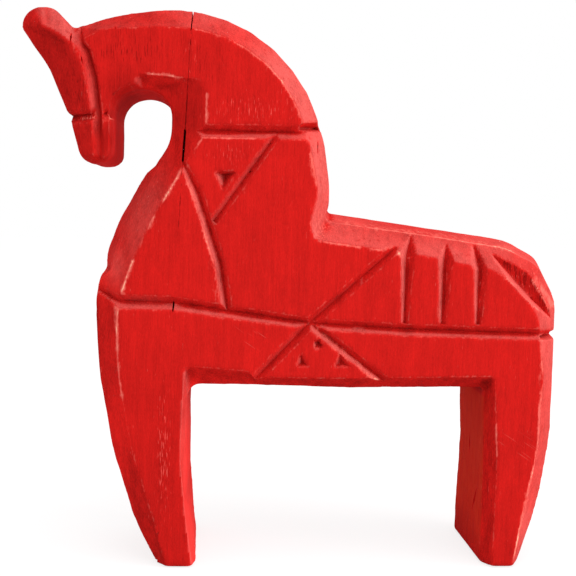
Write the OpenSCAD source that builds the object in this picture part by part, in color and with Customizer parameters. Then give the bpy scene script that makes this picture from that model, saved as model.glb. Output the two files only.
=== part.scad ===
// Carved wooden horse: a blank glued up from three boards and sawn to a profile,
// its edges pared to broad bevels, and both faces cut with grooves and small chips.
// The head looks along -X, the faces look along -Y and +Y, and the soles stand on Z = 0.

/* [Overall] */
// Height from the soles to the crest
horse_h = 240; // [230:1:256]
// Length from the ear to the rump
horse_l = 233; // [228:1:250]
// Thickness of the boards
stock_t = 60; // [46:1:80]

/* [Body] */
// Height of the back where the mane ends
back_h = 155.5; // [150:0.5:162]
// Height of the back over the rump
croup_h = 145; // [140:0.5:150]
// Height of the belly
belly_h = 80; // [70:0.5:86]

/* [Legs] */
// How far the breast stands behind the ear
breast_in = 31.3; // [28:0.1:34]
// Width of the fore leg, at the breast
fore_w = 40; // [36:0.2:46]
// Width of the fore sole
fore_sole_w = 17; // [14:0.2:22]
// Width of the hind leg, at the belly
hind_w = 31; // [26:0.5:36]
// Width of the hind sole
hind_sole_w = 16.8; // [12:0.2:22]

/* [Head and neck] */
// How far the nose stands behind the ear
nose_in = 20.7; // [18:0.1:24]
// Width of the muzzle
muzzle_w = 17.3; // [15:0.1:21]
// Height of the muzzle above the floor
muzzle_h = 173.8; // [168:0.2:178]
// Width of the arch under the throat
throat_w = 25; // [21:0.5:28]
// Height of the top of that arch
throat_h = 206.5; // [202:0.1:210]
// Width of the neck, from the throat to the mane
neck_w = 68.4; // [62:0.2:72]
// Radius of the crest
crest_r = 64; // [50:1:70]

/* [Carving] */
// How far the edge bevels go back from each face
bevel_in = 7; // [4:0.5:10]
// How far the second, steeper bevel goes back from each face
round_in = 18; // [14:0.5:21]
// Depth of the main grooves
groove_d = 2.6; // [1.5:0.1:4]
// Depth of the small triangular chips
chip_d = 2.2; // [1:0.1:3.5]
// Height of the groove across the neck
collar_h = 189; // [186:0.5:194]
// Height of the long groove, at the rump
girth_h = 105; // [100:0.5:110]

/* [Boards] */
// Width of the middle board
board_w = 80; // [70:1:90]
// Lean of the joints between the boards, in degrees
joint_lean = 3; // [0:0.25:4]
// Where the open joint meets the floor, in front of the fore leg's inner edge
joint_in = 12.4; // [11:0.2:15]
// Width of the joint that has opened at the neck
open_joint = 0.4; // [0.1:0.05:0.8]
// Thickness of the glue in the joint that has held
glue_line = 0.1; // [0.05:0.05:0.3]

/* [Dowels] */
// Diameter of the dowels
dowel_d = 10; // [6:1:12]
// Length of the dowels
dowel_l = 40; // [30:1:44]
// Chamfer on the ends of the dowels
dowel_bevel = 1; // [0.5:0.1:1.5]
// Gap between a dowel and the wall of its bore
dowel_gap = 0.05; // [0.02:0.01:0.15]
// Room left at each end of a dowel
dowel_room = 1; // [0.5:0.1:2]
// Wood left above the belly and under the croup, beside a dowel
dowel_cover = 10; // [6:0.5:14]

/* [Hidden] */
$fn = 48;
PAINT = [0.82, 0.07, 0.07];
BEECH = [0.82, 0.66, 0.45];
// A cutter reaches this far out of the face
OUT = 1;
BIG = 2 * (horse_h + horse_l);

// Places along the horse, from the ear back to the mane and the fore leg, then from the rump forward
ear_x = -horse_l / 2;
nose_x = ear_x + nose_in;
chin_x = nose_x + muzzle_w;
throat_x = chin_x + throat_w;
mane_x = throat_x + neck_w;
breast_x = ear_x + breast_in;
fore_x = breast_x + fore_w;
rear = horse_l / 2;
hind_x = rear - hind_w;
arch_x = throat_x - throat_w / 2;
hind_toe = hind_x + 1.2;
fore_heel = fore_x + 4.2;
// Where the long grooves cross on the flank
cross_x = (fore_x + hind_x) / 2 - 13.3;
cross_z = girth_h + 2.8;

// Outline: X, Z and radius of each corner of the profile, then X, Z and radius of the same corner
// on the face, then how much of the way to the face the second bevel takes
OUTLINE = [
    // ear and crest
    [ear_x, horse_h - 0.5, 12, ear_x + 3.3, horse_h - 6.3, 0.6, 0],
    [ear_x + 13, horse_h - 0.5, 9, ear_x + 12.5, horse_h - 10.4, 4, 0],
    [ear_x + 21.4, horse_h - 9.2, 3, ear_x + 23.7, horse_h - 15.6, 2, 0],
    [ear_x + 40.5, horse_h - 2.7, 60, ear_x + 34.5, horse_h - 10, 5, 0],
    [ear_x + 58.5, horse_h, 60, ear_x + 56.5, horse_h - 8.4, 20, 0],
    [mane_x - 21.3, horse_h, crest_r, mane_x - 26, horse_h - 8.4, crest_r - 8, 0],
    // mane and back
    [mane_x - 3, back_h + 31.5, 30, mane_x - 10, back_h + 30.5, 20, 0],
    [mane_x - 0.2, back_h + 12.5, 20, mane_x - 5.4, back_h + 8.5, 10, 0],
    [mane_x - 0.1, back_h + 3.5, 8, mane_x - 8.6, back_h - 4.8, 5, 0],
    [mane_x, back_h, 2.5, mane_x - 7.2, back_h - 11.6, 2.5, 0.3],
    [hind_x - 25, (back_h + croup_h) / 2 - 0.7, 150, hind_x - 29, back_h - 17.7, 60, 0.26],
    [rear - 21, croup_h, 20, rear - 30.5, croup_h - 12.6, 8, 0.25],
    // rump and hind leg
    [rear - 6, croup_h - 8, 10, rear - 17, croup_h - 21.2, 20, 0.2],
    [rear, girth_h + 13.5, 14, rear - 9.2, girth_h + 5.5, 10, 0],
    [rear, 58, 60, rear - 6.9, 72, 60, 0],
    [hind_toe + hind_sole_w + 8.6, 28, 80, hind_toe + hind_sole_w + 0.8, 30, 60, 0],
    [hind_toe + hind_sole_w, 0, 2, hind_toe + hind_sole_w - 3.4, 0.3, 1, 0],
    [hind_toe, 0, 1.5, hind_toe + 3.8, 0.3, 1, 0],
    [hind_x + 1, 44, 60, hind_x + 5.7, 46, 60, 0],
    [hind_x, belly_h, 2, hind_x + 3.2, belly_h + 5.8, 2, 0],
    // belly and fore leg
    [(fore_x + hind_x) / 2, belly_h - 1, 300, (fore_x + hind_x) / 2, belly_h + 4.2, 300, 0],
    [fore_x + 31.4, belly_h - 0.2, 20, fore_x + 28.4, belly_h + 4.4, 0.8, 0],
    [fore_x + 25.4, belly_h - 0.2, 20, fore_x + 25.8, belly_h + 6.9, 0.8, 0],
    [fore_x, belly_h, 6, fore_x - 1.2, belly_h + 9, 2, 0],
    [fore_x - 0.6, 26, 30, fore_x - 2.7, 50, 60, 0],
    [fore_heel, 0, 1.5, fore_heel - 1.8, 0.2, 1.5, 0],
    [fore_heel - fore_sole_w, 0, 1.5, fore_heel - fore_sole_w + 4.6, 0.2, 1, 0],
    [fore_heel - fore_sole_w - 9.4, 18.5, 50, fore_heel - fore_sole_w - 1.4, 22, 60, 0],
    [fore_heel - fore_sole_w - 19.4, 50.5, 60, fore_heel - fore_sole_w - 10.6, 52, 60, 0],
    [breast_x + 1.7, belly_h + 4, 60, breast_x + 10.6, belly_h + 4, 60, 0],
    // breast and throat
    [breast_x, girth_h + 7, 20, breast_x + 9.5, girth_h + 3, 30, 0],
    [breast_x + 0.8, girth_h + 18.5, 5, breast_x + 11.8, girth_h + 16, 20, 0.1],
    [breast_x + 2.7, girth_h + 25.5, 5, breast_x + 15.2, girth_h + 26, 20, 0.3],
    [breast_x + 8.6, girth_h + 45.6, 40, breast_x + 23.6, girth_h + 45, 30, 0.35],
    [throat_x - 11.4, muzzle_h - 2.4, 2.5, throat_x + 3, muzzle_h - 4.2, 8, 0.3],
    [throat_x - 7.6, muzzle_h + 0.8, 2, throat_x + 4.2, muzzle_h - 1.6, 4, 0.2],
    [throat_x, throat_h - 20.5, 20, throat_x + 7.9, throat_h - 28.5, 3, 0],
    [throat_x, throat_h - 13.5, 20, throat_x + 14.6, throat_h - 18.5, 4, 0],
    [throat_x, throat_h, throat_w / 2, throat_x + 14.8, throat_h + 3.7, 5, 0],
    // the bevel stops short at the top of the arch
    [arch_x + 0.2, throat_h, 1, arch_x - 1.4, throat_h + 5.9, 1, 0],
    [arch_x - 0.2, throat_h, 1, arch_x - 2.4, throat_h + 1, 1, 0],
    // head
    [chin_x, throat_h, throat_w / 2, chin_x - 0.6, throat_h + 0.6, throat_w / 2, 0],
    [chin_x, muzzle_h + 1.6, 6, chin_x - 0.6, muzzle_h + 2.8, 4, 0],
    [nose_x + 4.4, muzzle_h, 7, nose_x + 10.2, muzzle_h + 2.4, 3, 0],
    [nose_x - 0.4, muzzle_h + 18.7, 8, nose_x + 9.2, muzzle_h + 19.2, 20, 0],
    [nose_x - 9.2, throat_h + 7, 30, nose_x + 6.2, throat_h + 4.4, 20, 0],
    [ear_x, horse_h - 9.8, 3, ear_x + 21.4, horse_h - 17, 1, 0]
];

// Grooves: X, Z and depth below the face of each point along the bottom, with a run out over a bevel
// where one is met, and the spread of the two walls for each unit of depth, left of the way it runs first
EVEN = [1.05, 1.05];
GROOVES = [
    // across the neck
    [EVEN, [
        [throat_x + 5, collar_h - 0.2, 0.8],
        [throat_x + 14.2, collar_h, groove_d],
        [mane_x - 11, collar_h + 0.4, groove_d + 0.3],
        [mane_x - 2, collar_h + 1.8, bevel_in + groove_d + 2]
    ]],
    // its end and that of the long groove, cut on over the mane and the rump
    for (e = [[mane_x - 6, collar_h + 3.2], [rear, girth_h - 0.9]])
        [[0.3, 0.3], [
            [e[0] - 8, e[1] - 1, groove_d + 2],
            [e[0] + 1, e[1], bevel_in + 8]
        ]],
    // the two strokes that meet on the shoulder
    [EVEN, [
        [mane_x - 24.2, collar_h - 1.2, groove_d - 0.7],
        [mane_x - 49.8, collar_h - 38, groove_d - 0.7]
    ]],
    [EVEN, [
        [throat_x + 5, collar_h - 13, 1.2],
        [throat_x + 11.3, collar_h - 25.5, groove_d - 0.3],
        [throat_x + 21.5, collar_h - 55.8, groove_d - 0.3],
        [throat_x + 24, collar_h - 71, groove_d - 0.3],
        [throat_x + 24.8, girth_h + 8, groove_d - 0.3]
    ]],
    // along the whole body
    [EVEN, [
        [breast_x - 1.5, girth_h + 17.5, bevel_in + groove_d + 0.8],
        [breast_x + 10.3, girth_h + 11.2, groove_d + 0.4],
        [throat_x + 0.8, girth_h + 10.8, groove_d + 0.2],
        [cross_x, cross_z, groove_d - 0.2],
        [hind_x - 37.5, girth_h + 0.7, groove_d - 0.2],
        [rear - 8.3, girth_h - 0.5, groove_d - 0.2],
        [rear + 1, girth_h - 0.8, bevel_in + groove_d - 0.2]
    ]],
    // from the back down across the flank to the belly
    [EVEN, [
        [cross_x + 37, back_h - 14, groove_d - 0.4],
        [cross_x, cross_z, groove_d - 0.2],
        [cross_x - 23, belly_h + 3, groove_d - 0.4]
    ]],
    [EVEN, [
        [cross_x + 1.5, cross_z - 0.8, groove_d - 0.4],
        [cross_x + 33, belly_h + 3.2, groove_d - 0.4]
    ]],
    // three upright strokes, from the bevel of the back to the long groove: place from the hind leg, lean of the
    // top, its height over the croup, and how far it stops short of the depth of the bevel
    for (s = [[-36.9, 2.5, 1.7, 0.4], [-20.4, 1.4, -2.4, 1.6], [-4.8, -1.7, -2.6, 0]])
        [EVEN, [
            [hind_x + s[0] + s[1], croup_h + s[2], bevel_in - s[3]],
            [hind_x + s[0], croup_h + s[2] - 9.6, groove_d + 0.2],
            [hind_x + s[0] - 0.4, girth_h + 3.6, groove_d - 1.1]
        ]],
    // along the bevel of the rump
    [[2.2, 0.5], [
        [rear - 31, croup_h - 4.7, bevel_in - 2],
        [rear - 19, girth_h + 22.5, bevel_in - 2],
        [rear - 11.5, girth_h + 15, bevel_in - 2],
        [rear - 2.9, girth_h + 7, bevel_in - 2]
    ]],
    // cheek strap and mouth, one stroke from the poll to the chin
    [[0.4, 1.6], [
        [ear_x + 24.3, horse_h - 7, bevel_in + 1],
        [ear_x + 25.8, horse_h - 15.7, groove_d - 0.4],
        [nose_x + 7.7, throat_h + 14.8, groove_d - 0.2],
        [nose_x + 10.9, throat_h + 3.4, groove_d],
        [nose_x + 12.8, muzzle_h + 20.7, groove_d],
        [nose_x + 12.9, muzzle_h + 4, groove_d - 0.2],
        [nose_x + 12.9, muzzle_h - 1, bevel_in]
    ]],
    // noseband, before and behind the strap
    [EVEN, [
        [nose_x - 1.5, muzzle_h + 18.6, bevel_in + groove_d],
        [nose_x + 9.2, muzzle_h + 19, groove_d - 1.2],
        [nose_x + 11.8, muzzle_h + 19.1, groove_d - 1.4]
    ]],
    [EVEN, [
        [nose_x + 13.9, muzzle_h + 19.8, groove_d - 1.3],
        [chin_x + 1, muzzle_h + 20.2, groove_d - 1]
    ]]
];

// Chips: the three corners on the face, clockwise, then the deepest point
CHIPS = [
    // on the shoulder
    [
        [throat_x + 18.6, collar_h - 17.6], [throat_x + 28, collar_h - 17], [throat_x + 22.3, collar_h - 25.2],
        [throat_x + 22.8, collar_h - 19.5]
    ],
    // three under the crossing on the flank
    [
        [cross_x - 5.5, belly_h + 8.7], [cross_x - 3.5, belly_h + 15.6], [cross_x - 0.3, belly_h + 9.6],
        [cross_x - 2.8, belly_h + 10.6]
    ],
    [
        [cross_x + 2, belly_h + 20.7], [cross_x + 7.7, belly_h + 18.4], [cross_x + 2.6, belly_h + 17],
        [cross_x + 3.6, belly_h + 18.6]
    ],
    [
        [cross_x + 10.5, belly_h + 8.8], [cross_x + 13.6, belly_h + 15.4], [cross_x + 18.3, belly_h + 9.4],
        [cross_x + 13.9, belly_h + 10.6]
    ]
];

// Rounded rings through the corners of the outline
function unit(v) = v / norm(v);
function turn(a, p, b) = acos(min(1, max(-1, unit(p - a) * unit(b - p))));
// Length that a corner's rounding takes along each of its two edges, before it is limited
function reach(a, p, b, r) = max(0.15, r * tan(min(170, turn(a, p, b)) / 2));
function reaches(c) = let (n = len(c)) [
    for (i = [0 : n - 1])
        let (before = c[(i + n - 1) % n], after = c[(i + 1) % n])
            reach([before.x, before.y], [c[i].x, c[i].y], [after.x, after.y], c[i].z)
];
// A circular arc from one edge to the next, as a weighted curve through the corner
function arc(a, p, b, t, n) =
    let (w = cos(turn(a, p, b) / 2), s = p - unit(p - a) * t, e = p + unit(b - p) * t)
    [for (i = [0 : n]) let (k = i / n, j = 1 - k)
        (j * j * s + 2 * j * k * w * p + k * k * e) / (j * j + 2 * j * k * w + k * k)];
function ring(c, steps) =
    let (n = len(c), t = reaches(c))
    [for (i = [0 : n - 1])
        let (
            h = (i + n - 1) % n,
            j = (i + 1) % n,
            p = [c[i].x, c[i].y],
            a = [c[h].x, c[h].y],
            b = [c[j].x, c[j].y],
            room = min(norm(p - a) / (t[h] + t[i]), norm(b - p) / (t[i] + t[j]))
        )
        each arc(a, p, b, t[i] * min(1, 0.97 * room), steps[i])];

edge = [for (o = OUTLINE) [o[0], o[1], o[2]]];
face = [for (o = OUTLINE) [o[3], o[4], o[5]]];
shoulder = [for (i = [0 : len(OUTLINE) - 1]) edge[i] + OUTLINE[i][6] * (face[i] - edge[i])];
STEPS = [for (i = [0 : len(edge) - 1])
    let (n = len(edge), a = edge[(i + n - 1) % n], p = edge[i], b = edge[(i + 1) % n])
    max(1, ceil(turn([a.x, a.y], [p.x, p.y], [b.x, b.y]) / 11))];

// The bevelled blank: six rings, from one face to the other
module blank() {
    half = stock_t / 2;
    layers = [
        [-half, face], [bevel_in - half, shoulder], [round_in - half, edge],
        [half - round_in, edge], [half - bevel_in, shoulder], [half, face]
    ];
    rings = [for (l = layers) [for (p = ring(l[1], STEPS)) [p.x, l[0], p.y]]];
    n = len(rings[0]);
    last = len(layers) - 1;
    polyhedron(
        [for (r = rings) each r],
        [
            [for (i = [0 : n - 1]) i],
            [for (i = [n - 1 : -1 : 0]) last * n + i],
            for (k = [0 : last - 1], i = [0 : n - 1])
                let (a = k * n + i, b = k * n + (i + 1) % n)
                each [[b, a, a + n], [b, a + n, b + n]]
        ]
    );
}

// One V groove in the face at -Y, along its own bottom line
module groove(spread, path) {
    n = len(path);
    function flat(i) = [path[i].x, path[i].y];
    function way(i) = unit(flat(min(n - 1, i + 1)) - flat(max(0, i - 1)));
    function lip(i, side) =
        let (d = way(i), p = flat(i) + side * [-d.y, d.x] * (path[i].z + OUT))
        [p.x, -stock_t / 2 - OUT, p.y];
    polyhedron(
        [for (i = [0 : n - 1]) each [
            lip(i, spread[0]),
            lip(i, -spread[1]),
            [path[i].x, path[i].z - stock_t / 2, path[i].y]
        ]],
        [
            [0, 1, 2],
            [3 * n - 2, 3 * n - 3, 3 * n - 1],
            for (i = [0 : n - 2])
                let (a = 3 * i, b = a + 1, c = a + 2)
                each [
                    [a, a + 3, b + 3], [a, b + 3, b],
                    [a + 3, a, c], [a + 3, c, c + 3],
                    [b, b + 3, c + 3], [b, c + 3, c]
                ]
        ]
    );
}

// One three-sided chip in the face at -Y
module chip(corners) {
    deep = corners[3];
    grow = (chip_d + OUT) / chip_d;
    lips = [for (i = [0 : 2]) let (p = deep + grow * (corners[i] - deep)) [p.x, -stock_t / 2 - OUT, p.y]];
    polyhedron(
        concat(lips, [[deep.x, chip_d - stock_t / 2, deep.y]]),
        [[0, 1, 2], [1, 0, 3], [2, 1, 3], [0, 2, 3]]
    );
}

module carving() {
    for (g = GROOVES) groove(g[0], g[1]);
    for (c = CHIPS) chip(c);
}

// The carved blank, trimmed to the overall size
module carved() {
    resize([horse_l, stock_t, horse_h])
        difference() {
            blank();
            carving();
            mirror([0, 1, 0]) carving();
        }
}

// Moves to the open joint, at a distance along it, with +X square to the joint
module at_joint(along) {
    translate([fore_x - joint_in, 0, 0])
        rotate([0, joint_lean, 0])
            translate([0, 0, along])
                children();
}

// The stretch of the blank between two planes along the joints
module between(x_from, x_to) {
    intersection() {
        carved();
        at_joint(0) translate([x_from, -BIG / 2, -BIG / 2]) cube([x_to - x_from, BIG, BIG]);
    }
}

// Each dowel: distance along the joints from the floor, and distance from the open joint
DOWELS = [
    [(throat_h + horse_h) / 2, 0],
    [(collar_h + girth_h) / 2, 0],
    [belly_h + dowel_cover + dowel_d / 2, 0],
    [croup_h - dowel_cover - dowel_d / 2, board_w],
    [belly_h + dowel_cover + dowel_d / 2, board_w]
];

module along_dowel(d) {
    at_joint(d[0]) translate([d[1], 0, 0]) rotate([0, 90, 0]) children();
}

module bores() {
    for (d = DOWELS)
        along_dowel(d) cylinder(d = dowel_d + 2 * dowel_gap, h = dowel_l + 2 * dowel_room, center = true);
}

module dowel(d) {
    along_dowel(d) rotate_extrude() polygon([
        [0, -dowel_l / 2],
        [dowel_d / 2 - dowel_bevel, -dowel_l / 2],
        [dowel_d / 2, dowel_bevel - dowel_l / 2],
        [dowel_d / 2, dowel_l / 2 - dowel_bevel],
        [dowel_d / 2 - dowel_bevel, dowel_l / 2],
        [0, dowel_l / 2]
    ]);
}

module head_board() {
    color(PAINT) difference() {
        between(-BIG, -open_joint / 2);
        bores();
    }
}

module neck_board() {
    color(PAINT) difference() {
        between(open_joint / 2, board_w - glue_line / 2);
        bores();
    }
}

module rump_board() {
    color(PAINT) difference() {
        between(board_w + glue_line / 2, BIG);
        bores();
    }
}

module neck_dowel() {
    color(BEECH) dowel(DOWELS[0]);
}

module shoulder_dowel() {
    color(BEECH) dowel(DOWELS[1]);
}

module chest_dowel() {
    color(BEECH) dowel(DOWELS[2]);
}

module back_dowel() {
    color(BEECH) dowel(DOWELS[3]);
}

module belly_dowel() {
    color(BEECH) dowel(DOWELS[4]);
}

head_board();
neck_board();
rump_board();
neck_dowel();
shoulder_dowel();
chest_dowel();
back_dowel();
belly_dowel();
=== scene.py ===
"""Dresses a carved wooden horse.

The three boards get tool marks and worn red paint, the dowels inside get bare beech, and the stage is plain
and white.
"""
import math

import bpy
import numpy as np
from bpy.props import FloatProperty, FloatVectorProperty, PointerProperty
from mathutils import Matrix, Vector


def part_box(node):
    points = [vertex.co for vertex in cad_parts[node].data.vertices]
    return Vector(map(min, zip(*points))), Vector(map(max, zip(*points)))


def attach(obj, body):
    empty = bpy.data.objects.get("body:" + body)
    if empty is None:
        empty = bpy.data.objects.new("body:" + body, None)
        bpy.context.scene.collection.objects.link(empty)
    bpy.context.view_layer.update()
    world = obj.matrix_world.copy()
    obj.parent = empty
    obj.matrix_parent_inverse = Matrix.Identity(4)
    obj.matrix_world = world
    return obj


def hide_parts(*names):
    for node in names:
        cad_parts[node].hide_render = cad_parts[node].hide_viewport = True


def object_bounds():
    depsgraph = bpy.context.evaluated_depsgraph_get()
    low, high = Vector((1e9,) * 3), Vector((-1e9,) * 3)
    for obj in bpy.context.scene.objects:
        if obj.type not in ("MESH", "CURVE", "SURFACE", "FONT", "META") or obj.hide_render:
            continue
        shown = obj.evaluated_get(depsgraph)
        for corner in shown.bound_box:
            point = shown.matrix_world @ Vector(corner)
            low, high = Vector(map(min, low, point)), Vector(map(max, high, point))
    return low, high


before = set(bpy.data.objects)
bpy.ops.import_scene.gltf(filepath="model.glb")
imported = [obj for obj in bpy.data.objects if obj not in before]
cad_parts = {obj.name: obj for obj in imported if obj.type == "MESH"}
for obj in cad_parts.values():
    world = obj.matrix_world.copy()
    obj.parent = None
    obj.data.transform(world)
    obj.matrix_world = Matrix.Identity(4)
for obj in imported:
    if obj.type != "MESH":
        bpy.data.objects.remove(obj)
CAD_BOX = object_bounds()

bl_info = {
    "name": "Carved wooden horse",
    "version": (1, 0, 0),
    "blender": (4, 5, 0),
    "location": "3D View > Sidebar > Horse",
    "description": "Tool marks, worn paint and a white stage for a carved wooden horse",
    "category": "Object",
}

MM = 0.001
BODY = "root"
BOARDS = ("head_board", "neck_board", "rump_board")
DOWELS = tuple(sorted(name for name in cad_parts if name.endswith("_dowel")))
# Each joint between two boards runs through the middles of two of its dowels, the lower one first
JOINTS = (("chest_dowel", "neck_dowel"), ("belly_dowel", "back_dowel"))
# Half the thickness of the boards, in millimetres
HALF = CAD_BOX[1].y / MM
# Vertices this near to the middle of a joint lie on its faces
JOINT_RIM = 0.3 * MM
# How far the marks of the tools stay away from the joints and from the soles
JOINT_MARGIN = 2.5 * MM
SOLE_MARGIN = 2 * MM
# A spot has faded out at this many times its half width and half height
SPOT_REACH = 1.3
# Faces that meet at a smaller angle are shaded as one
SMOOTH_ANGLE = math.radians(28)

# Where the front joint has opened: heights in millimetres from and to, and how far it gapes
OPEN_JOINT = ((230.5, 240, 0.5), (218, 227, 0.1), (206, 214, 0.14), (189, 204, 0.12), (176, 189.5, 0.9),
              (112.5, 116.5, 0.7))

# Where hands and knocks have rubbed the paint, as lines on the two faces:
# X and Z in millimetres of both ends, how far the rubbing reaches, and how hard it is
RUBS = (
    (-49, 172, -56, 160, 2.5, 1.0),
    (-60, 152, -62, 148, 2, 0.7),
    (-69, 133, -73, 121, 2.5, 1.0),
    (-76, 113, -75, 96, 2.5, 1.0),
    (-75, 96, -73, 76, 2.5, 0.7),
    (-38.5, 204, -38.5, 193, 2, 1.0),
    (10.5, 105, 37, 84, 2.2, 1.0),
    (109, 103, 109.5, 76, 1.8, 0.9),
    (109.5, 76, 109, 55, 1.8, 1.0),
    (109, 55, 104, 22, 1.8, 1.0),
    (104, 22, 100, 3, 1.8, 1.0),
    (-44.5, 231.5, -26.5, 225.5, 1.2, 0.5),
    (-26.5, 225.5, -13.5, 217.5, 1.2, 0.6),
    (-13.5, 217.5, -5, 208.5, 1.2, 0.7),
    (-5, 208.5, 0.5, 196, 1.4, 0.8),
    (5, 180, 8, 168, 2, 0.8),
    (6.5, 151, 10, 144, 2.2, 0.7),
    (-43, 180.5, -40, 186, 1.4, 0.7),
    (-43, 180.5, -42.5, 176.5, 1.2, 0.6),
    (-40, 186, -18, 186.5, 1.5, 0.5),
    (-47.5, 174, -38.5, 149.5, 2.6, 0.8),
    (-38.5, 149.5, -33.5, 117.5, 2.2, 0.65),
    (15, 153, 35, 149.5, 3, 0.8),
    (35, 149.5, 66, 146.5, 3, 0.9),
    (66, 146.5, 97, 141, 3, 0.9),
    (10, 143.5, 34, 140, 1.3, 0.8),
    (34, 140, 43.5, 142.5, 1.3, 0.8),
    (44, 139.5, 49.5, 136, 2.2, 0.7),
    (92, 130, 100, 123, 1.4, 0.8),
    (100, 123, 107, 115.5, 1.4, 0.8),
    (107, 128, 114.5, 117.5, 4, 1.2),
    (90, 64, 91, 51, 1.2, 0.55),
    (-72, 210.5, -70, 206, 1.3, 0.6),
    (-63, 212, -55, 212.5, 1.5, 0.9),
    (-55, 212.5, -52, 210.5, 1.5, 0.8),
    (-52, 210.5, -47.5, 210, 1.5, 0.8),
    (-93, 192.5, -86, 193, 1.2, 0.7),
    (-80.5, 193.5, -76, 194, 1.2, 0.7),
)

# A spot is the X and Z of its middle, its half width and half height in millimetres, and a share.
# The first ones are where the raised grain gets painted glints.
GLINT_SPOTS = (
    (-19, 199, 22, 9, 1.0),
    (-28, 180, 12, 7, 0.9),
    (10, 148, 7, 8, 1.0),
    (-46, 220, 4, 12, 0.8),
    (-55, 50, 4, 36, 1.3),
    (102, 128, 14, 12, 0.5),
    (-60, 156, 8, 22, 0.25),
    (47, 128, 3, 12, 0.7),
    (64.5, 126, 3, 12, 0.7),
    (80.5, 125, 3, 12, 0.7),
)
# Where the paint is darker, partly painted shade, as on the muzzle and the throat
GRIME_AND_SHADE = (
    (-97, 206, 7, 16, 0.45),
    (-107, 231, 4, 6, 0.4),
    (-48, 192, 8, 18, 0.45),
    (-64, 160, 8, 14, 0.3),
    (-80, 185, 3, 12, 0.8),
    (-75, 204, 9, 13, 0.85),
    (-104, 215, 8, 24, 0.5),
    (-70, 224, 24, 10, 0.12),
    (-72, 235, 22, 7, 0.4),
    (-56, 40, 18, 60, 0.3),
    (96, 14, 9, 34, 0.3),
    (84, 6, 7, 14, 0.7),
    (98, 56, 10, 30, 0.15),
)
# Spots where the bevels get painted sheen though they face away from the lamps
SHEEN_SPOTS = ((-64, 148, 14, 42, 0.4), (-76, 131, 7, 12, 0.45))
# Where the bevels get no painted sheen
NO_SHEEN = (
    (-70, 186, 20, 22, 1.0),
    (-86, 182, 6, 14, 1.0),
    (-91, 214, 6, 20, 0.7),
    (-62, 235, 30, 9, 0.6),
    (-28, 229, 26, 14, 0.65),
    (55, 150, 36, 8, 0.5),
    (112, 66, 8, 44, 0.4),
)
# Where painted light lightens the paint, on the bevels and on the deeper walls that lie in shade
PAINTED_LIGHT_BEVELS = (
    (-42, 38, 6, 48, 3.0),
    (-74, 60, 9, 50, 0.85),
    (-62, 205, 16, 8, 0.5),
    (5, 188, 7, 5, 1.0),
    (-80, 124, 8, 16, 0.6),
    (107, 34, 7, 20, 0.7),
    (89.5, 40, 3, 40, 0.3),
)
PAINTED_LIGHT_WALLS = ((-70, 186, 20, 22, 2.2),)
# Where the wood has dried into fine checks along the grain, and where the knife has torn it, darkened as
# painted shade
CHECKS = ((-72, 222, 22, 12, 1.0), (-94, 206, 10, 24, 0.7), (-40, 218, 20, 14, 0.5), (87, 40, 5, 34, 0.45))
TORN_AND_SHADE = ((103, 126, 9, 9, 1.0), (48, 140, 4, 4, 0.8), (64, 139, 4, 4, 0.8), (80, 138, 4, 5, 0.8))
# Where the faces are scratched
SCRATCHES = ((-15, 102, 11, 9, 1.0), (100, 55, 10, 7, 1.0))
# The crack in the paint along the front joint: the heights at which it begins, is whole and ends
SEAM_HEIGHTS = (60, 160, 230)
SEAM_WIDTH = 1.2 * MM
# The hind leg's inner wall lies behind this X and below this Z, in millimetres, and its stain fades out
# from the last height down to the sole
HIND_WALL_X = 80
HIND_WALL_Z = 76
STAIN_Z = 24

# The leaf-shaped chip on the rump: its bottom line and its outer edge, as X and Z in millimetres and the
# depth below the face, which is None where the cut runs out on the surface
LEAF_BOTTOM = ((89, 136.5, None), (98.5, 127, 5.4), (104.5, 120.5, 5.6), (111, 114, 5.4), (113, 113, None))
LEAF_EDGE = ((89, 137, None), (95.5, 135, None), (102.5, 131, None), (108, 123, None), (113, 115, None))
# Three-cornered chips: the three corners on the face and the bottom, in the same way
CHIPS = (
    ((-35, 172, 0), (-25, 172.5, 0), (-31, 163.5, 0), (-30.5, 170.5, 4)),
    ((10.5, 102, 0), (13.5, 97, 0), (8.5, 97, 0), (11, 99, 2.6)),
)

# Cracks: the board, the axis along which they go in and the two other coordinates of the middle, then the
# length, width and depth of the wedge that cuts them, in millimetres, and the lean in degrees
CRACKS = (
    ("head_board", "Y", -95.4, 226.5, 6.5, 0.9, 7, 0),
    ("head_board", "Y", -90.7, 217, 6, 0.8, 6, -9),
    ("head_board", "Y", -77, 230.5, 4, 0.6, 5, 0),
    ("head_board", "Y", -72, 221, 4.5, 0.5, 5, 2),
    ("neck_board", "Y", 9, 184, 8, 0.45, 6, 0),
    ("rump_board", "X", 2, 49, 15, 3, 8, -10),
    ("rump_board", "X", -11.5, 26, 20, 3, 8, 30),
)
# How a crack that points up is turned to go in along an axis
CRACK_TURNS = {
    "X": Matrix.Rotation(math.pi / 2, 3, "Y") @ Matrix.Rotation(math.pi / 2, 3, "Z"),
    "Y": Matrix.Rotation(-math.pi / 2, 3, "X"),
}

# How far the inner edges of the legs and the breast are moved backwards at each height, on the near side and
# on the far one, in millimetres
FORE_CURVE = ((0, 1, -0.9), (12, 0.6, -0.6), (25, 0, 0.2), (35, 0, 0.9), (50, 0, 0.6), (64, 0, 0))
HIND_CURVE = ((0, 0, -1.6), (17, 0, -1.3), (32, 0, -0.3), (49, 0, 0.5), (64, 0, 0.3), (76, 0, 0))
BREAST_CURVE = (
    (112, 0, 0), (117, -0.6, -0.6), (126, -0.8, -0.8), (127.5, 0, 0), (129.5, 0.9, 0.9),
    (132, 0.2, 0.2), (135, -0.7, -0.7), (140, -1.2, -1.2), (146, -0.6, -0.6), (153, 0, 0),
)
# The curve of each board, the X that stays still and the X of the edge
EASED = {
    "head_board": (BREAST_CURVE, -74, -82),
    "neck_board": (FORE_CURVE, -50, -44),
    "rump_board": (HIND_CURVE, 92, 86),
}

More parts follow.
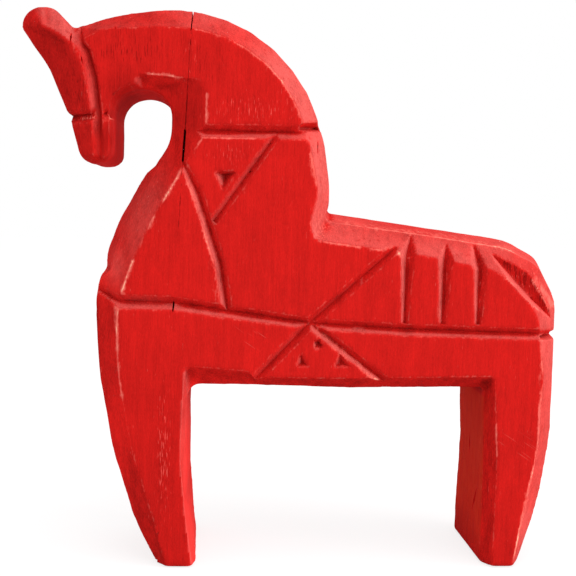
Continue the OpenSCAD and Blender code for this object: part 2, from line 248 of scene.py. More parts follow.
# How deep the bevels go, and the spots where they are pared less deep, with the difference as their share
BEVEL_BOTTOM = 7
SHALLOW = ((109, 86, 9, 14, 1.1), (108, 50, 9, 22, 1.2))

# The cut across the muzzle, in millimetres. It slopes down to a lip, whose height holds at the X of the nose
# and which rises backwards. The slope reaches so far above the lip, and the cut is so deep there. Nothing is
# cut behind the X of the back, or on the stretch that stays clear for the cheek groove. On the throat's wall
# the cut runs out this far from the near face.
NOSE_CUT = {
    "nose": -94,
    "lip": 193,
    "rise": 0.09,
    "reach": 3.4,
    "depth": 2,
    "back": -60,
    "clear": (-85, -82),
    "runs_out": 14,
}

# Where wear has rounded the corners, as spots that all have the same share
SOFT_CORNERS = (
    (-67, 207, 9, 8, 1.0),
    (-104, 226, 12, 12, 1.0),
    (-83, 181, 4, 7, 1.0),
    (-86, 174, 13, 2.2, 1.0),
    (-77, 179, 4, 8, 1.0),
    (-72, 199, 7, 6, 1.0),
    (-60, 203, 10, 4, 1.0),
    (-54, 196, 4, 8, 1.0),
    (8, 187.5, 4.5, 3, 1.0),
    (-52, 0, 22, 10, 1.0),
    (-41, 30, 4, 30, 1.0),
    (94, 0, 24, 7, 1.0),
    (10, 146, 6, 6, 1.0),
)

# The lamps: name, place and size in metres, and power in watts
LAMPS = (("right_lamp", (1.3, -0.42, 0.34), 0.75, 12.5), ("top_lamp", (0.2, -0.45, 1.4), 0.9, 7.5))
# Width of the camera's sensor in millimetres, and of the floor in metres
SENSOR_WIDTH = 36
FLOOR_SIZE = 8
# The floor lies this far under the soles, so that their faces don't coincide
FLOOR_DROP = 0.1 * MM


class HorseCarving(bpy.types.PropertyGroup):
    """Sizes of the marks that the tools left."""

    cell: FloatProperty(
        name="Cell", description="Size of the faces that a board is divided into", default=0.86 * MM,
        unit="LENGTH")
    ripple: FloatProperty(
        name="Ripple", description="Height of the waves that the plane and the knife left",
        default=0.35 * MM, unit="LENGTH")
    ripple_length: FloatProperty(
        name="Ripple length", description="Distance between those waves", default=9 * MM, unit="LENGTH")
    nick: FloatProperty(
        name="Nick", description="Depth of the nicks in the arrises", default=0.45 * MM, unit="LENGTH")
    nick_length: FloatProperty(
        name="Nick length", description="Length of the nicks", default=3.5 * MM, unit="LENGTH")


class HorsePaint(bpy.types.PropertyGroup):
    """Colours and grain of the paint and of the wood."""

    red: FloatVectorProperty(
        name="Red", description="The paint", default=(0.59, 0.0115, 0.0094, 1), size=4, subtype="COLOR")
    # Paint rubbed thin, and also the colour of the painted glints on the raised grain
    chalk_and_glint: FloatVectorProperty(
        name="Chalk", description="Paint that is rubbed thin", default=(0.92, 0.17, 0.135, 1), size=4,
        subtype="COLOR")
    # A pale pink that stands for the lamps' sheen on the bevels: painted sheen
    sheen_colour: FloatVectorProperty(
        name="Dull", description="Paint that dust and light have dulled",
        default=(0.69, 0.17, 0.15, 1), size=4, subtype="COLOR")
    bare: FloatVectorProperty(
        name="Bare wood", description="Wood where the paint is gone", default=(1.0, 0.48, 0.32, 1), size=4,
        subtype="COLOR")
    stain: FloatVectorProperty(
        name="Stain", description="Brown where the paint is thin on the hind leg's inner wall",
        default=(0.55, 0.032, 0.010, 1), size=4, subtype="COLOR")
    beech: FloatVectorProperty(
        name="Beech", description="The dowels", default=(0.60, 0.38, 0.17, 1), size=4, subtype="COLOR")
    dark: FloatVectorProperty(
        name="Dark", description="Bottom of the cracks", default=(0.10, 0.002, 0.002, 1), size=4,
        subtype="COLOR")
    roughness: FloatProperty(
        name="Roughness", description="How matt the paint is", default=0.9, min=0, max=1, subtype="FACTOR")
    grain: FloatProperty(
        name="Grain", description="Width of a line of the grain", default=0.9 * MM, unit="LENGTH")
    grain_length: FloatProperty(
        name="Grain length", description="Length of a line of the grain", default=22 * MM, unit="LENGTH")


class HorseStage(bpy.types.PropertyGroup):
    """The camera, the lights and the floor."""

    eye: FloatVectorProperty(
        name="Eye", description="Where the camera stands",
        default=(-28.1 * MM, -456.6 * MM, 157.7 * MM), size=3, subtype="TRANSLATION")
    yaw: FloatProperty(
        name="Yaw", description="Turn of the camera to the right", default=math.radians(3.408),
        subtype="ANGLE")
    pitch: FloatProperty(
        name="Pitch", description="Tilt of the camera upwards", default=math.radians(-4.616),
        subtype="ANGLE")
    roll: FloatProperty(
        name="Roll", description="Turn of the camera about its own axis", default=math.radians(1.227),
        subtype="ANGLE")
    lens: FloatProperty(
        name="Lens", description="Focal length in millimetres", default=62.5, min=10, max=200)
    ambient: FloatProperty(
        name="Ambient", description="Level of the light from all round", default=0.9, min=0, max=2)
    floor: FloatProperty(
        name="Floor", description="Brightness of the floor, as it lights the horse", default=0.6, min=0,
        max=1)


class Wire:
    """An output of a node. Arithmetic on it adds Math nodes."""

    def __init__(self, shader, socket):
        self.shader = shader
        self.socket = socket

    def __add__(self, other):
        return self.shader.math("ADD", self, other)

    def __sub__(self, other):
        return self.shader.math("SUBTRACT", self, other)

    def __rsub__(self, other):
        return self.shader.math("SUBTRACT", other, self)

    def __mul__(self, other):
        return self.shader.math("MULTIPLY", self, other)

    __radd__ = __add__
    __rmul__ = __mul__


class Shader:
    """A material, or the world, and the nodes in it."""

    def __init__(self, owner):
        owner.use_nodes = True
        self.tree = owner.node_tree
        self.tree.nodes.clear()

    def node(self, kind, settings=None, sockets=None, out=0):
        """Adds a node, sets it up, fills or links its sockets, and gives one of its outputs."""
        made = self.tree.nodes.new(kind)
        for key, value in (settings or {}).items():
            setattr(made, key, value)
        for key, value in (sockets or {}).items():
            if isinstance(value, Wire):
                self.tree.links.new(value.socket, made.inputs[key])
            else:
                made.inputs[key].default_value = value
        return Wire(self, made.outputs[out] if len(made.outputs) else None)

    def math(self, operation, *values):
        """A Math node with those values or links."""
        return self.node("ShaderNodeMath", {"operation": operation}, dict(enumerate(values)))

    def attribute(self, name):
        """One of the values that each vertex of the boards has."""
        return self.node("ShaderNodeAttribute", {"attribute_name": name}, out="Fac")

    def noise(self, size, detail, roughness, turn=(0, 0, 0)):
        """Noise about 0.5, in object coordinates, with patches of a size along X, Y and Z in metres."""
        place = self.node("ShaderNodeTexCoord", out="Object")
        stretched = self.node(
            "ShaderNodeMapping", {"vector_type": "TEXTURE"},
            {"Vector": place, "Rotation": turn, "Scale": size})
        return self.node(
            "ShaderNodeTexNoise", None,
            {"Vector": stretched, "Scale": 1.0, "Detail": detail, "Roughness": roughness}, out="Fac")

    def step(self, value, low, high):
        """0 below one value, 1 above another, and smooth between them."""
        return self.node(
            "ShaderNodeMapRange", {"interpolation_type": "SMOOTHSTEP"},
            {"Value": value, "From Min": low, "From Max": high})

    def blend(self, share, a, b):
        """Colour a, with a share of colour b."""
        # Several sockets of a Mix node share a name, so these are the numbers of those for colours
        factor = 0
        first = 6
        second = 7
        result = 2
        return self.node(
            "ShaderNodeMix", {"data_type": "RGBA"}, {factor: share, first: a, second: b}, out=result)


def red_paint(paint):
    """Thin red paint over straight-grained wood, rubbed through at the arrises, with painted shade, light,
    sheen and glints.
    """
    material = bpy.data.materials.new("red_paint")
    shader = Shader(material)

    # The lines of the grain and the unevenness of the paint
    width = paint.grain
    fibre = shader.noise((width, width, paint.grain_length), 3, 0.6)
    hairs = shader.noise((width * 0.6, width * 0.6, paint.grain_length * 0.16), 2, 0.6)
    grit = shader.noise((0.5 * MM, 0.5 * MM, 1.5 * MM), 2, 0.6)
    mottle = shader.noise((5 * MM, 5 * MM, 14 * MM), 3, 0.6)
    patches = shader.noise((30 * MM, 30 * MM, 45 * MM), 2, 0.5)
    chips = shader.noise((2.2 * MM, 2.2 * MM, 5 * MM), 4, 0.65)
    fleck = shader.noise((0.5 * MM, 0.5 * MM, 4 * MM), 1, 0.5)
    threads = shader.noise((0.45 * MM, 0.45 * MM, 6 * MM), 1, 0.5)
    tears = shader.noise((0.8 * MM, 3 * MM, 9 * MM), 1, 0.5)
    slant = math.radians(-56)
    lines = shader.noise((0.5 * MM, 20 * MM, 14 * MM), 1, 0.5, (0, slant, 0))

    # What each vertex says of the wear there, and of the painted shade, light, sheen and glints
    arris = shader.attribute("arris")
    hollow_shade = shader.attribute("hollow_shade")
    rub = shader.attribute("rub")
    grain_glint = shader.attribute("grain_glint")
    bevel = shader.attribute("bevel")
    bevel_sheen = shader.attribute("bevel_sheen")
    seam = shader.attribute("seam")
    brown = shader.attribute("brown")
    grime_and_shade = shader.attribute("grime_and_shade")
    check = shader.attribute("check")
    torn_and_shade = shader.attribute("torn_and_shade")
    scratch = shader.attribute("scratch")

    # The red, darkened by painted shade in the hollows, on the torn walls and on the darker spots, lightened
    # by painted light, and the brown stain in it
    rugged = 1 + bevel * 1.6
    pits = shader.step(chips + (grit - 0.5) * 0.8, 0.6, 0.75) * bevel
    tone = (1 + (fibre - 0.5) * 0.36 + (hairs - 0.5) * 0.3 + (grit - 0.5) * 0.35 * rugged
            + (mottle - 0.5) * 0.35 * rugged + (patches - 0.5) * 0.3 + (fleck - 0.5) * grain_glint * 0.9
            - hollow_shade * 0.36 - grime_and_shade * 0.35 - bevel * 0.06 - pits * 0.25 - torn_and_shade * 0.12)
    red = shader.node("ShaderNodeHueSaturation", None, {"Value": tone, "Color": tuple(paint.red)})
    stain = shader.step(fibre + (mottle - 0.5), 0.3, 0.7)
    colour = shader.blend(brown * (0.35 + stain * 0.4), red, tuple(paint.stain))

    # Painted sheen on the bevels, painted glints on the raised grain, scratches, and wear down to the wood
    worn = arris * 0.45 + rub * (0.5 + arris * 0.4) + (chips - 0.5) * 1.6 + (grit - 0.5) * 0.5
    chalked = shader.step(worn, 0.25, 0.95)
    bared = shader.step(worn, 0.95, 1.3)
    # Painted glints on the raised grain, more on the bevels with painted sheen
    glints = shader.step(fleck + (grit - 0.5) * 0.25 + grain_glint * 0.17 + bevel_sheen * 0.1, 0.73, 0.86)
    scored = shader.step(lines, 0.68, 0.74) * scratch
    # Painted sheen on the bevels that face the lamps
    sheened = bevel_sheen * (0.05 + mottle * 0.35 + grit * 0.45) * (1 - pits * 0.6)
    colour = shader.blend(sheened, colour, tuple(paint.sheen_colour))
    colour = shader.blend(shader.math("MAXIMUM", glints * 0.36, scored * 0.5), colour, tuple(paint.chalk_and_glint))
    colour = shader.blend(chalked * (0.5 + rub * 0.3), colour, tuple(paint.chalk_and_glint))
    colour = shader.blend(bared, colour, tuple(paint.bare))

    # Cracks in the paint and in the wood
    split = shader.step(seam + (chips - 0.5) * 1.4, 0.75, 1.0) * seam
    checked = shader.step(threads, 0.63, 0.69) * check
    streaked = shader.step(tears, 0.5, 0.6) * torn_and_shade
    opened = shader.math("MAXIMUM", shader.math("MAXIMUM", split, checked), streaked * 0.8)
    colour = shader.blend(opened * 0.6, colour, tuple(paint.dark))

    # Relief and sheen
    height = (fibre * 0.4 + hairs * 0.35 + grit * 0.35 * rugged + glints * 0.3
              - chalked * 0.15 - opened * 0.8 - pits * 0.6)
    bump = shader.node("ShaderNodeBump", None, {"Strength": 0.6, "Distance": 0.3 * MM, "Height": height})
    rough = paint.roughness + (patches - 0.5) * 0.2 + (hairs - 0.5) * 0.2 + chalked * 0.12
    surface = shader.node("ShaderNodeBsdfPrincipled", None, {
        "Base Color": colour, "Roughness": rough, "Normal": bump, "Specular IOR Level": 0.03})
    shader.node("ShaderNodeOutputMaterial", None, {"Surface": surface})
    return material


def bare_beech(paint):
    """Planed beech, with its short dark flecks."""
    material = bpy.data.materials.new("beech")
    shader = Shader(material)
    fibre = shader.noise((12 * MM, 0.5 * MM, 0.5 * MM), 3, 0.6)
    flecks = shader.step(shader.noise((2.5 * MM, 0.4 * MM, 0.4 * MM), 1, 0.5), 0.62, 0.7)
    tone = 1 + (fibre - 0.5) * 0.4 - flecks * 0.25
    colour = shader.node("ShaderNodeHueSaturation", None, {"Value": tone, "Color": tuple(paint.beech)})
    bump = shader.node("ShaderNodeBump", None, {"Strength": 0.3, "Distance": 0.1 * MM, "Height": fibre})
    surface = shader.node("ShaderNodeBsdfPrincipled", None, {
        "Base Color": colour, "Roughness": 0.6 + (fibre - 0.5) * 0.2, "Normal": bump})
    shader.node("ShaderNodeOutputMaterial", None, {"Surface": surface})
    return material


def only(piece):
    """Leaves one object selected, and active."""
    bpy.ops.object.select_all(action="DESELECT")
    piece.select_set(True)
    bpy.context.view_layer.objects.active = piece


def modify(piece, kind, **settings):
    """Adds a modifier, sets it up and applies it."""
    only(piece)
    bpy.ops.object.modifier_add(type=kind)
    modifier = piece.modifiers[-1]
    for key, value in settings.items():
        setattr(modifier, key, value)
    bpy.ops.object.modifier_apply(modifier=modifier.name)


def points(piece):
    """The places of a mesh's vertices, one a row."""
    place = np.empty(len(piece.data.vertices) * 3)
    piece.data.vertices.foreach_get("co", place)
    return place.reshape(-1, 3)


def put(piece, place):
    """Moves a mesh's vertices to those places."""
    piece.data.vertices.foreach_set("co", place.ravel())
    piece.data.update()


def normals(piece):
    """The directions of a mesh's vertices, one a row."""
    way = np.empty(len(piece.data.vertices) * 3)
    piece.data.vertex_normals.foreach_get("vector", way)
    return way.reshape(-1, 3)


def below_face(place):
    """How deep points lie below the faces, in millimetres."""
    return HALF - np.abs(place[:, 1]) / MM


def weigh(piece, name, weights):
    """A vertex group with those weights, in steps of a twentieth."""
    group = piece.vertex_groups.new(name=name)
    whole = 20
    steps = np.round(np.clip(weights, 0, 1) * whole).astype(int)
    for step in range(1, whole + 1):
        group.add(np.flatnonzero(steps == step).tolist(), step / whole, "REPLACE")


def keep(piece, name, values):
    """An attribute with one value for each vertex."""
    attribute = piece.data.attributes.new(name, "FLOAT", "POINT")
    attribute.data.foreach_set("value", values.astype(np.float32))


def ramp(value, low, high):
    """0 up to one value, 1 from another, and straight between them."""
    return np.clip((value - low) / (high - low), 0, 1)


def fade(distance, reach):
    """1 at no distance, 0 at the reach and beyond, and smooth between them."""
    near = np.clip(1 - distance / reach, 0, 1)
    return near * near * (3 - 2 * near)


def joint_line(names):
    """A point on a joint, and the direction square to it, towards the rump."""
    low, high = (sum(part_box(name), Vector()) / 2 for name in names)
    along = (high - low).normalized()
    return np.array(low), np.array((along.z, 0, -along.x))


def from_joint(place, names):
    """How far points lie behind a joint."""
    middle, square = joint_line(names)
    return (place - middle) @ square


def copied(node):
    """A new object with a merged copy of a node's mesh."""
    piece = bpy.data.objects.new(node.name + "_carved", node.data.copy())
    bpy.context.scene.collection.objects.link(piece)
    only(piece)
    bpy.ops.object.mode_set(mode="EDIT")
    bpy.ops.mesh.select_all(action="SELECT")
    bpy.ops.mesh.remove_doubles(threshold=0.001 * MM)
    bpy.ops.object.mode_set(mode="OBJECT")
    return piece


def divide(piece, cell):
    """Divides the faces into even cells and keeps the sharp arrises."""
    halvings = 9
    modify(
        piece, "REMESH", mode="SHARP", octree_depth=halvings, sharpness=1.0, use_remove_disconnected=False,
        scale=max(piece.dimensions) / (cell * 2 ** halvings))


def move(piece, chosen, way):
    """Moves the chosen vertices in edit mode."""
    only(piece)
    mesh = piece.data
    mesh.polygons.foreach_set("select", np.zeros(len(mesh.polygons), bool))
    mesh.edges.foreach_set("select", np.zeros(len(mesh.edges), bool))
    mesh.vertices.foreach_set("select", chosen)
    bpy.context.tool_settings.mesh_select_mode = (True, False, False)
    bpy.ops.object.mode_set(mode="EDIT")
    bpy.ops.transform.translate(value=way)
    bpy.ops.object.mode_set(mode="OBJECT")


def close_joints(piece):
    """Brings the boards together where paint bridges a joint, and parts them where it has opened."""
    place = points(piece)
    height = place[:, 2] / MM
    for names in JOINTS:
        gap = from_joint(place, names)
        face = np.abs(gap) < JOINT_RIM
        if not face.any():
            continue
        side = gap[face].mean()
        square = joint_line(names)[1]
        move(piece, face, Vector(square * -side))
        if names != JOINTS[0]:
            continue
        for low, high, wide in OPEN_JOINT:
            inside = face & (height > low) & (height < high)
            move(piece, inside, Vector(square * math.copysign(wide / 2 * MM, side)))


def bends(piece, cell):
    """How sharp an arris each vertex is on, and how deep in a hollow it lies, from 0 to 1."""
    sharp_rise = 0.2 * cell
    hollow_drop = 1.2 * cell
    passes = 24
    mesh = piece.data
    place = points(piece)
    way = normals(piece)
    ends = np.empty(len(mesh.edges) * 2, int)
    mesh.edges.foreach_get("vertices", ends)
    start, end = ends.reshape(-1, 2).T
    one = np.concatenate((start, end))
    other = np.concatenate((end, start))
    count = np.bincount(one, minlength=len(place))[:, None]

    def evened(level):
        """Each point at the middle of its neighbours."""
        return np.column_stack([np.bincount(one, column[other], len(place)) for column in level.T]) / count

    def above(level):
        """How far the vertices stand out from a level."""
        return ((place - level) * way).sum(1)

    near = evened(place)
    wide = near
    for _ in range(passes - 1):
        wide = evened(wide)
    return np.clip(above(near) / sharp_rise, 0, 1), np.clip(-above(wide) / hollow_drop, 0, 1)


def rubbed(place):
    """How hard each point of the faces has been rubbed, from 0 for not at all."""
    flat = place[:, (0, 2)] / MM
    rub = np.zeros(len(flat))
    for x0, z0, x1, z1, reach, hard in RUBS:
        start = np.array((x0, z0))
        way = np.array((x1, z1)) - start
        along = np.clip((flat - start) @ way / (way @ way), 0, 1)
        distance = np.linalg.norm(flat - start - along[:, None] * way, axis=1)
        rub = np.maximum(rub, hard * fade(distance, reach))
    return rub


def within(place, spots):
    """How far each point of the faces lies inside the spots, from 0 to their shares."""
    flat = place[:, (0, 2)] / MM
    inside = np.zeros(len(flat))
    for x, z, wide, high, share in spots:
        distance = np.linalg.norm((flat - (x, z)) / (wide, high), axis=1)
        inside = np.maximum(inside, fade(distance, SPOT_REACH) * share)
    return inside


def cut_nose(piece):
    """Presses the cut across the muzzle into the head."""
    place = points(piece)
    way = normals(piece)
    x, _, z = place.T / MM
    above = z - NOSE_CUT["lip"] - (x - NOSE_CUT["nose"]) * NOSE_CUT["rise"]
    deep = np.where((above > 0) & (x < NOSE_CUT["back"]), np.clip(1 - above / NOSE_CUT["reach"], 0, 1), 0)
    start, end = NOSE_CUT["clear"]
    deep[(x > start) & (x < end)] = 0
    from_near_face = (place[:, 1] - CAD_BOX[0].y) / MM
    on_throat = way[:, 0] > 0.5
    deep *= np.where(on_throat, np.clip(1 - from_near_face / NOSE_CUT["runs_out"], 0, 1), 1)
    put(piece, place - way * deep[:, None] * NOSE_CUT["depth"] * MM)


def surface(piece, axis, spot):
    """The level of the surface that faces against an axis, at a spot of the two others, in millimetres."""
    place = points(piece) / MM
    away = np.linalg.norm(np.delete(place, axis, 1) - spot, axis=1)
    turned_away = normals(piece)[:, axis] > -0.2
    return place[np.argmin(np.where(turned_away, np.inf, away)), axis]


def press(piece, triangles):
    """Presses triangles into both faces, and gives 1 for the vertices inside them."""
    slack = 0.001
    place = points(piece)
    flat = place[:, (0, 2)] / MM
    facing = np.abs(normals(piece)[:, 1]) > 0.2
    deeper = below_face(place)
    pressed = np.zeros(len(place))
    for three in triangles:
        levels = [HALF + surface(piece, 1, (x, z)) if level is None else level for x, z, level in three]
        a, b, c = (np.array(corner[:2]) for corner in three)
        share = np.linalg.solve(np.column_stack((b - a, c - a)), (flat - a).T)
        inside = facing & (share.min(0) > -slack) & (share.sum(0) < 1 + slack)
        cut = levels[0] + share[0] * (levels[1] - levels[0]) + share[1] * (levels[2] - levels[0])
        deeper = np.where(inside, np.maximum(deeper, cut), deeper)
        pressed[inside] = 1
    place[:, 1] = np.sign(place[:, 1]) * (HALF - deeper) * MM
    put(piece, place)
    return pressed


def cut_leaf(piece):
    """Widens the leaf-shaped chip on the rump, and gives 1 for the vertices inside it."""
    corners = [corner for pair in zip(LEAF_BOTTOM, LEAF_EDGE) for corner in pair]
    return press(piece, list(zip(corners, corners[1:], corners[2:])))


def cut_chips(piece):
    """Widens the three-cornered chips."""
    for a, b, c, bottom in CHIPS:
        press(piece, ((a, b, bottom), (b, c, bottom), (c, a, bottom)))


def ease(piece, curve, still, edge):
    """Moves an edge into an uneven curve. Nothing moves past the X that stays still."""
    place = points(piece)
    x, y, z = place.T / MM
    heights, near, far = np.array(curve).T
    across = (y * MM - CAD_BOX[0].y) / (CAD_BOX[1].y - CAD_BOX[0].y)
    shift = np.interp(z, heights, near) * (1 - across) + np.interp(z, heights, far) * across
    place[:, 0] += shift * ramp(x, still, edge) * MM
    put(piece, place)


def raise_bevels(piece):
    """Brings the bevels that are pared less deep nearer to the faces, and stretches the wall between them."""
    place = points(piece)
    depth = below_face(place)
    less = within(place, SHALLOW)
    raised = np.maximum(depth - less, np.minimum(depth, 0))
    wall = HALF - BEVEL_BOTTOM
    stretched = HALF - (HALF - depth) * (wall + less) / wall
    depth = np.where(depth < BEVEL_BOTTOM, raised, stretched)
    place[:, 1] = np.sign(place[:, 1]) * (HALF - depth) * MM
    put(piece, place)


def outward(way, behind):
    """Directions without the share that the hidden faces give to the rims of the joints."""
    for names, gap in zip(JOINTS, behind):
        square = joint_line(names)[1]
        rim = np.abs(gap) < JOINT_RIM
        way[rim] -= np.outer(way[rim] @ square, square)
        way[rim] /= np.maximum(np.linalg.norm(way[rim], axis=1, keepdims=True), 0.01)
    return way


def crack(piece, axis, across, up, length, width, deep, lean):
    """Cuts one crack with a pointed wedge that goes into the surface that faces against an axis."""
    # How far the wedge stands out of that surface, in millimetres
    outside = 2
    turn = Matrix.Rotation(math.radians(lean), 3, axis) @ CRACK_TURNS[axis]
    index = "XYZ".index(axis)
    level = surface(piece, index, (across, up)) - outside + deep / 2
    middle = np.insert((across, up), index, level) * MM
    bpy.ops.object.select_all(action="DESELECT")
    bpy.ops.mesh.primitive_cone_add(
        vertices=4, radius1=MM, radius2=0, depth=deep * MM, location=middle,
        rotation=turn.to_euler(), scale=(width / 2, length / 2, 1))
    wedge = bpy.context.object
    modify(piece, "BOOLEAN", operation="DIFFERENCE", solver="EXACT", object=wedge)
    only(wedge)
    bpy.ops.object.delete()


def clouds(name, size):
    """A soft noise for the modifiers."""
    texture = bpy.data.textures.new(name, "CLOUDS")
    texture.noise_scale = size
    texture.noise_depth = 1
    return texture


class Skin:
    """What the wear and the paint need to know of a carved board, with a value or a row for each vertex."""

    def __init__(self, piece, leaf, cell):
        self.place = points(piece)
        self.x, _, self.z = self.place.T / MM
        self.depth = below_face(self.place)
        self.behind = np.array([from_joint(self.place, names) for names in JOINTS])
        self.way = outward(normals(piece), self.behind)
        self.facing = np.abs(self.way[:, 1])
        self.leaf = leaf
        off_joints = np.prod(1 - fade(np.abs(self.behind), JOINT_MARGIN), axis=0)
        self.clear = off_joints * ramp(self.place[:, 2], 0, SOLE_MARGIN)
        self.soft = within(self.place, SOFT_CORNERS) * off_joints
        sharp, hollow_shade = bends(piece, cell)
        self.arris = sharp * off_joints * (1 - self.soft)
        self.hollow_shade = np.clip(hollow_shade * 2, 0, 1) * self.clear * (1 - self.soft) * (1 - leaf)


def carve(piece, name):
    """Makes the finer cuts in one board, and gives 1 for the vertices inside the leaf-shaped chip."""
    leaf = np.zeros(len(piece.data.vertices))
    ease(piece, *EASED[name])
    if name == "head_board":
        cut_nose(piece)
    if name == "neck_board":
        cut_chips(piece)
    if name == "rump_board":
        raise_bevels(piece)
        leaf = cut_leaf(piece)
    return leaf


def roughen(piece, skin, carving, waves, nicks):
    """Rounds the worn corners, and leaves the waves of the tools and the nicks in the arrises."""
    weigh(piece, "soft", skin.soft)
    weigh(piece, "arris", skin.arris * skin.clear)
    weigh(piece, "clear", skin.clear)
    modify(piece, "SMOOTH", factor=0.5, iterations=14, vertex_group="soft")
    modify(
        piece, "DISPLACE", texture=waves, texture_coords="LOCAL", direction="NORMAL", mid_level=0.5,
        strength=carving.ripple, vertex_group="clear")
    modify(
        piece, "DISPLACE", texture=nicks, texture_coords="LOCAL", direction="NORMAL", mid_level=1.0,
        strength=carving.nick, vertex_group="arris")
    piece.vertex_groups.clear()


def mark_wear(piece, skin):
    """Keeps where the paint is rubbed, scratched and split, where the raised grain has painted glints, and
    where the wood is torn, with painted shade on torn walls that face the head.
    """
    keep(piece, "arris", skin.arris)
    keep(piece, "rub", rubbed(skin.place))
    keep(piece, "grain_glint", within(skin.place, GLINT_SPOTS))
    keep(piece, "check", within(skin.place, CHECKS))
    keep(piece, "scratch", within(skin.place, SCRATCHES))
    # Torn spots count only on walls that face the head, away from the lamps, so they carry painted shade
    faces_head = skin.way[:, 0] < -0.1
    keep(piece, "torn_and_shade", np.maximum(skin.leaf, within(skin.place, TORN_AND_SHADE) * faces_head))
    begins, whole, ends = SEAM_HEIGHTS
    seam = fade(np.abs(skin.behind[0]), SEAM_WIDTH)
    keep(piece, "seam", seam * ramp(skin.z, begins, whole) * (skin.z < ends))


def mark_tone(piece, skin):
    """Keeps where the paint is darker, partly as painted shade, where it has painted light, where the bevels
    have painted sheen, and where it is stained.
    """
    way_x, _, way_z = skin.way.T
    facing = skin.facing
    hollow_shade = skin.hollow_shade
    # Painted shade in the hollows, darkest on walls that face down or towards the head, away from the lamps
    shade = 0.4 + 0.6 * np.clip((way_x + way_z) * -1.5, 0, 1)
    keep(piece, "hollow_shade", hollow_shade * shade)

    # Painted shade on the steep walls at the rear that face the rump goes in with the darker spots, and
    # painted light is taken off them
    grime_and_shade = within(skin.place, GRIME_AND_SHADE)
    # Painted light on the listed bevels, and on the deeper walls
    painted_light = within(skin.place, PAINTED_LIGHT_BEVELS) * (facing < 0.97)
    painted_light += within(skin.place, PAINTED_LIGHT_WALLS) * fade(facing, 0.5) * ramp(skin.depth, 4, 14)
    rear_shade = fade(facing, 0.4) * ramp(way_x, 0, 1) * (skin.x > 0)
    keep(piece, "grime_and_shade", grime_and_shade + rear_shade * 0.6 - painted_light)

    # Painted sheen lies on bevels that face the lamps, up or towards the rump, and less in hollows and on the
    # darker spots
    bevel = fade(facing - 0.8, 0.17) * np.clip(facing * 2, 0.4, 1)
    lit = np.clip(way_x * 1.6 + way_z * 1.2 * (1 - hollow_shade) - hollow_shade * 0.4 - 0.15, 0, 1)
    lit *= np.clip(1 - grime_and_shade * 1.6, 0, 1)
    painted_sheen = np.maximum(lit, within(skin.place, SHEEN_SPOTS)) * (1 - skin.leaf) * (1 - within(skin.place, NO_SHEEN))
    keep(piece, "bevel", bevel)
    keep(piece, "bevel_sheen", bevel * painted_sheen)

    # The stain lies on the hind leg's inner wall alone
    on_wall = (skin.x > HIND_WALL_X) * (skin.z < HIND_WALL_Z) * ramp(-way_x, 0.88, 0.98)
    keep(piece, "brown", on_wall * ramp(skin.z, 0, STAIN_Z))


class HORSE_OT_boards(bpy.types.Operator):
    """Carve and paint the three boards"""

    bl_idname = "horse.boards"
    bl_label = "Boards"

    def execute(self, context):
        carving = context.scene.horse_carving
        material = red_paint(context.scene.horse_paint)
        waves = clouds("waves", carving.ripple_length)
        nicks = clouds("nicks", carving.nick_length)
        for name in BOARDS:
            piece = copied(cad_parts[name])
            divide(piece, carving.cell)
            leaf = carve(piece, name)
            skin = Skin(piece, leaf, carving.cell)
            close_joints(piece)
            roughen(piece, skin, carving, waves, nicks)
            mark_wear(piece, skin)
            mark_tone(piece, skin)
            for board, *sizes in CRACKS:
                if board == name:
                    crack(piece, *sizes)
            only(piece)
            bpy.ops.object.shade_smooth_by_angle(angle=SMOOTH_ANGLE)
            piece.data.materials.clear()
            piece.data.materials.append(material)
            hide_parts(name)
            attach(piece, BODY)
        return {"FINISHED"}


class HORSE_OT_dowels(bpy.types.Operator):
    """Give the dowels inside the joints their wood"""

    bl_idname = "horse.dowels"
    bl_label = "Dowels"

    def execute(self, context):
        material = bare_beech(context.scene.horse_paint)
        for name in DOWELS:
            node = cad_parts[name]
            node.data.materials.clear()
            node.data.materials.append(material)
        return {"FINISHED"}


def softbox(name, place, aim, size, power):
    """A square lamp that looks at a point."""
    bpy.ops.object.light_add(type="AREA", location=place)
    lamp = bpy.context.object
    lamp.name = name
    lamp.data.shape = "SQUARE"
    lamp.data.size = size
    lamp.data.energy = power
    lamp.rotation_euler = (Vector(aim) - Vector(place)).to_track_quat("-Z", "Y").to_euler()


def in_view(shader):
    """1 for the rays that show the background: the camera's, and those that gloss or glass passes on."""
    shown = 0
    for kind in ("Is Camera Ray", "Is Glossy Ray", "Is Transmission Ray"):
        shown = shader.math("MAXIMUM", shown, shader.node("ShaderNodeLightPath", out=kind))
    return shown


def pale_floor(stage):
    """A matt floor that is white where it is seen and keeps the shadow."""
    white = (0.95, 0.95, 0.95, 1)
    glow_strength = 1.05
    glow_share = 0.75
    material = bpy.data.materials.new("floor")
    shader = Shader(material)
    seen = in_view(shader)
    colour = shader.blend(seen, (stage.floor,) * 3 + (1,), white)
    matt = shader.node("ShaderNodeBsdfDiffuse", None, {"Color": colour})
    glow = shader.node("ShaderNodeEmission", None, {"Strength": glow_strength})
    both = shader.node("ShaderNodeMixShader", None, {0: seen * glow_share, 1: matt, 2: glow})
    shader.node("ShaderNodeOutputMaterial", None, {"Surface": both})
    return material


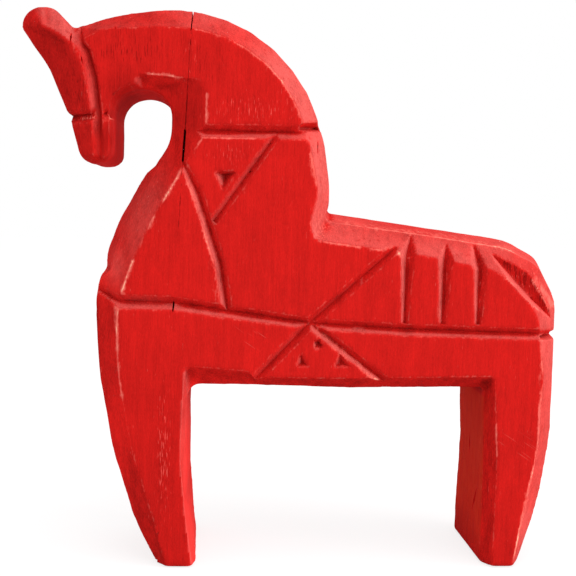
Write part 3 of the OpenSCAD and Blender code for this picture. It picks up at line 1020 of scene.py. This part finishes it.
class HORSE_OT_stage(bpy.types.Operator):
    """Set up the camera, the lamps and the floor"""

    bl_idname = "horse.stage"
    bl_label = "Stage"

    def execute(self, context):
        scene = context.scene
        stage = scene.horse_stage
        scene.view_settings.view_transform = "Standard"
        bpy.ops.object.select_all(action="DESELECT")
        turn = (Matrix.Rotation(-stage.yaw, 3, "Z") @ Matrix.Rotation(math.pi / 2 + stage.pitch, 3, "X")
                @ Matrix.Rotation(stage.roll, 3, "Z"))
        bpy.ops.object.camera_add(location=stage.eye, rotation=turn.to_euler())
        scene.camera = context.object
        scene.camera.data.lens = stage.lens
        scene.camera.data.sensor_width = SENSOR_WIDTH

        bpy.ops.mesh.primitive_plane_add(size=FLOOR_SIZE, location=(0, 0, -FLOOR_DROP))
        floor = context.object
        floor.name = "floor"
        floor.data.materials.append(pale_floor(stage))

        middle = (CAD_BOX[0] + CAD_BOX[1]) / 2
        for name, place, size, power in LAMPS:
            softbox(name, place, middle, size, power)

        world = bpy.data.worlds.new("studio")
        scene.world = world
        shader = Shader(world)
        level = stage.ambient + in_view(shader) * (1 - stage.ambient)
        light = shader.node("ShaderNodeBackground", None, {"Color": (1, 1, 1, 1), "Strength": level})
        shader.node("ShaderNodeOutputWorld", None, {"Surface": light})
        return {"FINISHED"}


class HORSE_PT_panel(bpy.types.Panel):
    """The horse's sizes, colours and steps"""

    bl_idname = "HORSE_PT_panel"
    bl_label = "Carved horse"
    bl_space_type = "VIEW_3D"
    bl_region_type = "UI"
    bl_category = "Horse"

    def draw(self, context):
        scene = context.scene
        for group in (scene.horse_carving, scene.horse_paint, scene.horse_stage):
            box = self.layout.box()
            for key in group.__annotations__:
                box.prop(group, key)
        for operator in OPERATORS:
            self.layout.operator(operator.bl_idname)


GROUPS = {"horse_carving": HorseCarving, "horse_paint": HorsePaint, "horse_stage": HorseStage}
OPERATORS = (HORSE_OT_stage, HORSE_OT_boards, HORSE_OT_dowels)


def register():
    """Adds the settings, the operators and the panel."""
    for made in (*GROUPS.values(), *OPERATORS, HORSE_PT_panel):
        bpy.utils.register_class(made)
    for name, group in GROUPS.items():
        setattr(bpy.types.Scene, name, PointerProperty(type=group))


def unregister():
    """Takes the settings, the operators and the panel out again."""
    for name in GROUPS:
        delattr(bpy.types.Scene, name)
    for made in (HORSE_PT_panel, *reversed(OPERATORS), *GROUPS.values()):
        bpy.utils.unregister_class(made)


def main():
    """Dresses the horse."""
    register()
    bpy.ops.horse.stage()
    bpy.ops.horse.boards()
    bpy.ops.horse.dowels()


if __name__ == "__main__":
    main()
